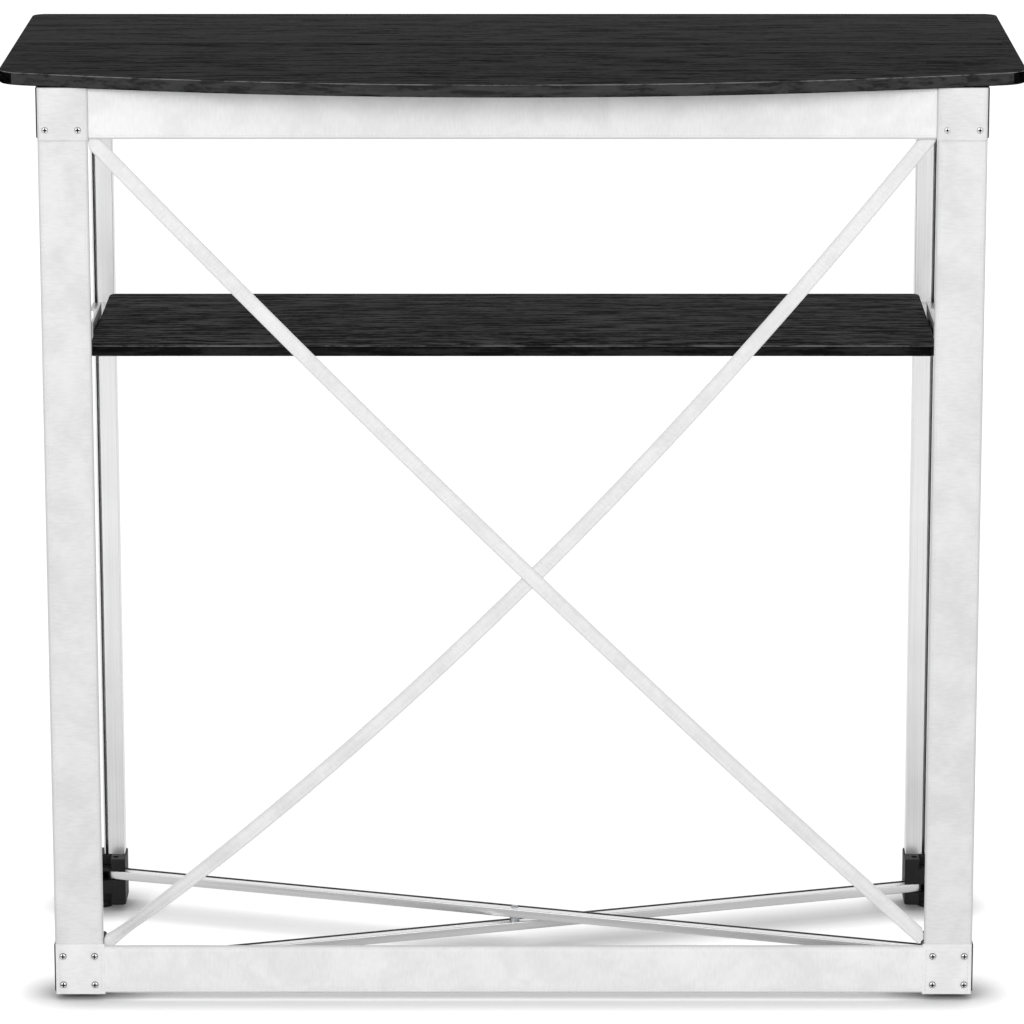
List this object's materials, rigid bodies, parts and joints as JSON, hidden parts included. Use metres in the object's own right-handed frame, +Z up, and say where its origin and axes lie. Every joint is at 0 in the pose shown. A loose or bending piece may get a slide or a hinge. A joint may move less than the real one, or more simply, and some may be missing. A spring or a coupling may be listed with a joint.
{
  "type": "folding portable bar",
  "caption": "Folding portable bar: scissor-braced legs in corner hubs, canvas front bands with crossed straps, a fold-over bowed counter and a lift-out shelf.",
  "frame": {"origin": "on the floor under the middle of the counter's box", "axes": "+X along the counter to the right as the guest sees it, +Y from the guest's side to the server's side, +Z up"},
  "size_m": [1.136, 0.53, 1.0705],
  "materials": {
    "black_laminate": "black wood-grain laminate, satin",
    "black_plastic": "moulded black nylon, fine texture",
    "black_steel": "black coated steel",
    "aluminium": "satin anodised extrusion",
    "zinc_steel": "bright zinc plate",
    "white_canvas": "white woven polyester canvas, doubled and edge-stitched",
    "black_rubber": "moulded rubber"
  },
  "bodies": {
    "frame_centre": {"bottom_rivet": "zinc_steel", "top_rivet": "zinc_steel"},
    "bar_pair_a": {"bottom_bar_a": "aluminium", "top_bar_a": "aluminium"},
    "bar_pair_b": {"bottom_bar_b": "aluminium", "top_bar_b": "aluminium"},
    "front_left_corner": {"front_left_leg": "aluminium", "front_left_foot": "black_rubber", "front_left_shelf_bracket": "aluminium", "front_left_bottom_hub": "black_plastic", "front_left_bottom_pin": "zinc_steel", "front_left_bottom_screw_1": "zinc_steel", "front_left_bottom_screw_2": "zinc_steel", "front_left_bottom_screw_3": "zinc_steel", "front_left_bottom_screw_4": "zinc_steel", "front_left_top_hub": "black_plastic", "front_left_top_pin": "zinc_steel", "front_left_top_screw_1": "zinc_steel", "front_left_top_screw_2": "zinc_steel", "front_left_post_band": "white_canvas", "top_band": "white_canvas", "bottom_band": "white_canvas", "front_strap": "white_canvas", "back_strap": "white_canvas"},
    "front_right_corner": {"front_right_leg": "aluminium", "front_right_foot": "black_rubber", "front_right_shelf_bracket": "aluminium", "front_right_bottom_hub": "black_plastic", "front_right_bottom_pin": "zinc_steel", "front_right_bottom_screw_1": "zinc_steel", "front_right_bottom_screw_2": "zinc_steel", "front_right_bottom_screw_3": "zinc_steel", "front_right_bottom_screw_4": "zinc_steel", "front_right_top_hub": "black_plastic", "front_right_top_pin": "zinc_steel", "front_right_top_screw_1": "zinc_steel", "front_right_top_screw_2": "zinc_steel", "front_right_post_band": "white_canvas"},
    "rear_left_corner": {"rear_left_leg": "aluminium", "rear_left_foot": "black_rubber", "rear_left_shelf_bracket": "aluminium", "rear_left_bottom_hub": "black_plastic", "rear_left_bottom_pin": "zinc_steel", "rear_left_top_hub": "black_plastic", "rear_left_top_pin": "zinc_steel"},
    "rear_right_corner": {"rear_right_leg": "aluminium", "rear_right_foot": "black_rubber", "rear_right_shelf_bracket": "aluminium", "rear_right_bottom_hub": "black_plastic", "rear_right_bottom_pin": "zinc_steel", "rear_right_top_hub": "black_plastic", "rear_right_top_pin": "zinc_steel"},
    "counter_rear": {"counter_rear_leaf": "black_laminate", "counter_hinge_rear_strip": "black_steel", "counter_hinge_pin": "black_steel"},
    "counter_front": {"counter_front_leaf": "black_laminate", "counter_hinge_front_strip": "black_steel"},
    "shelf": {"shelf_board": "black_laminate", "shelf_end_strip_left": "aluminium", "shelf_end_strip_right": "aluminium"}
  },
  "joints": [
    {"name": "frame_fold", "type": "hinge", "parent": "frame_centre", "child": "bar_pair_a", "pos_m": [0, -0.004, 0], "axis": [0, 0, -1], "range_deg": [0, 69], "deforming": ["top_band", "bottom_band", "front_strap", "back_strap"]},
    {"name": "bar_pair_b_turn", "type": "hinge", "parent": "frame_centre", "child": "bar_pair_b", "pos_m": [0, -0.004, 0], "axis": [0, 0, 1], "range_deg": [0, 69]},
    {"name": "front_left_turn", "type": "hinge", "parent": "bar_pair_b", "child": "front_left_corner", "pos_m": [-0.48, -0.153, 0], "axis": [0, 0, -1], "range_deg": [0, 69]},
    {"name": "front_right_turn", "type": "hinge", "parent": "bar_pair_a", "child": "front_right_corner", "pos_m": [0.48, -0.153, 0], "axis": [0, 0, 1], "range_deg": [0, 69]},
    {"name": "rear_left_turn", "type": "hinge", "parent": "bar_pair_a", "child": "rear_left_corner", "pos_m": [-0.48, 0.145, 0], "axis": [0, 0, 1], "range_deg": [0, 69]},
    {"name": "rear_right_turn", "type": "hinge", "parent": "bar_pair_b", "child": "rear_right_corner", "pos_m": [0.48, 0.145, 0], "axis": [0, 0, -1], "range_deg": [0, 69]},
    {"name": "counter_lift", "type": "slide", "parent": "frame_centre", "child": "counter_rear", "axis": [0, 0, 1], "range_m": [0, 0.3]},
    {"name": "counter_leaf_fold", "type": "hinge", "parent": "counter_rear", "child": "counter_front", "pos_m": [0, 0.032, 1.0685], "axis": [-1, 0, 0], "range_deg": [0, 180]},
    {"name": "shelf_lift", "type": "slide", "parent": "frame_centre", "child": "shelf", "axis": [0, 0, 1], "range_m": [0, 0.15]}
  ],
  "couplings": [
    {"joint": "bar_pair_b_turn", "follows": "frame_fold", "ratio": 1},
    {"joint": "front_left_turn", "follows": "frame_fold", "ratio": 1},
    {"joint": "front_right_turn", "follows": "frame_fold", "ratio": 1},
    {"joint": "rear_left_turn", "follows": "frame_fold", "ratio": 1},
    {"joint": "rear_right_turn", "follows": "frame_fold", "ratio": 1}
  ]
}
